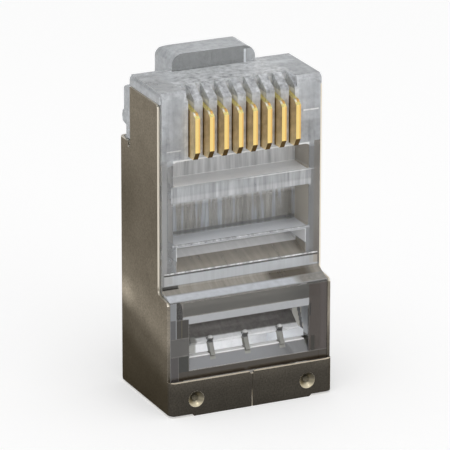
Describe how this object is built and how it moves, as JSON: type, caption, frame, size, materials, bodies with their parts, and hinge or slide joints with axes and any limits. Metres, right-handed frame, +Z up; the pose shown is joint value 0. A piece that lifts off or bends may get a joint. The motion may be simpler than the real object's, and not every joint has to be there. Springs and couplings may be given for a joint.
{
  "type": "shielded modular plug",
  "caption": "Shielded clear modular plug for round network cable, with gold contact blades, a folded metal shield and a latch arm.",
  "frame": {"origin": "centre of the bounding box at the level on which the plug stands on its cable end", "axes": "+Z up from the cable end to the nose, the contacts face -Y, the latch arm hangs on the +Y side, X runs along the row of contacts"},
  "size_m": [0.0116, 0.0124, 0.0226],
  "materials": {
    "clear_plastic": "clear moulded polycarbonate, polished with frosted fins",
    "nickel_plate": "satin nickel plate on folded sheet, bright at the cut edges",
    "gold_plate": "bright gold plate"
  },
  "bodies": {
    "root": {"housing": "clear_plastic", "shield": "nickel_plate", "contact_1": "gold_plate", "contact_2": "gold_plate", "contact_3": "gold_plate", "contact_4": "gold_plate", "contact_5": "gold_plate", "contact_6": "gold_plate", "contact_7": "gold_plate", "contact_8": "gold_plate"}
  },
  "joints": []
}
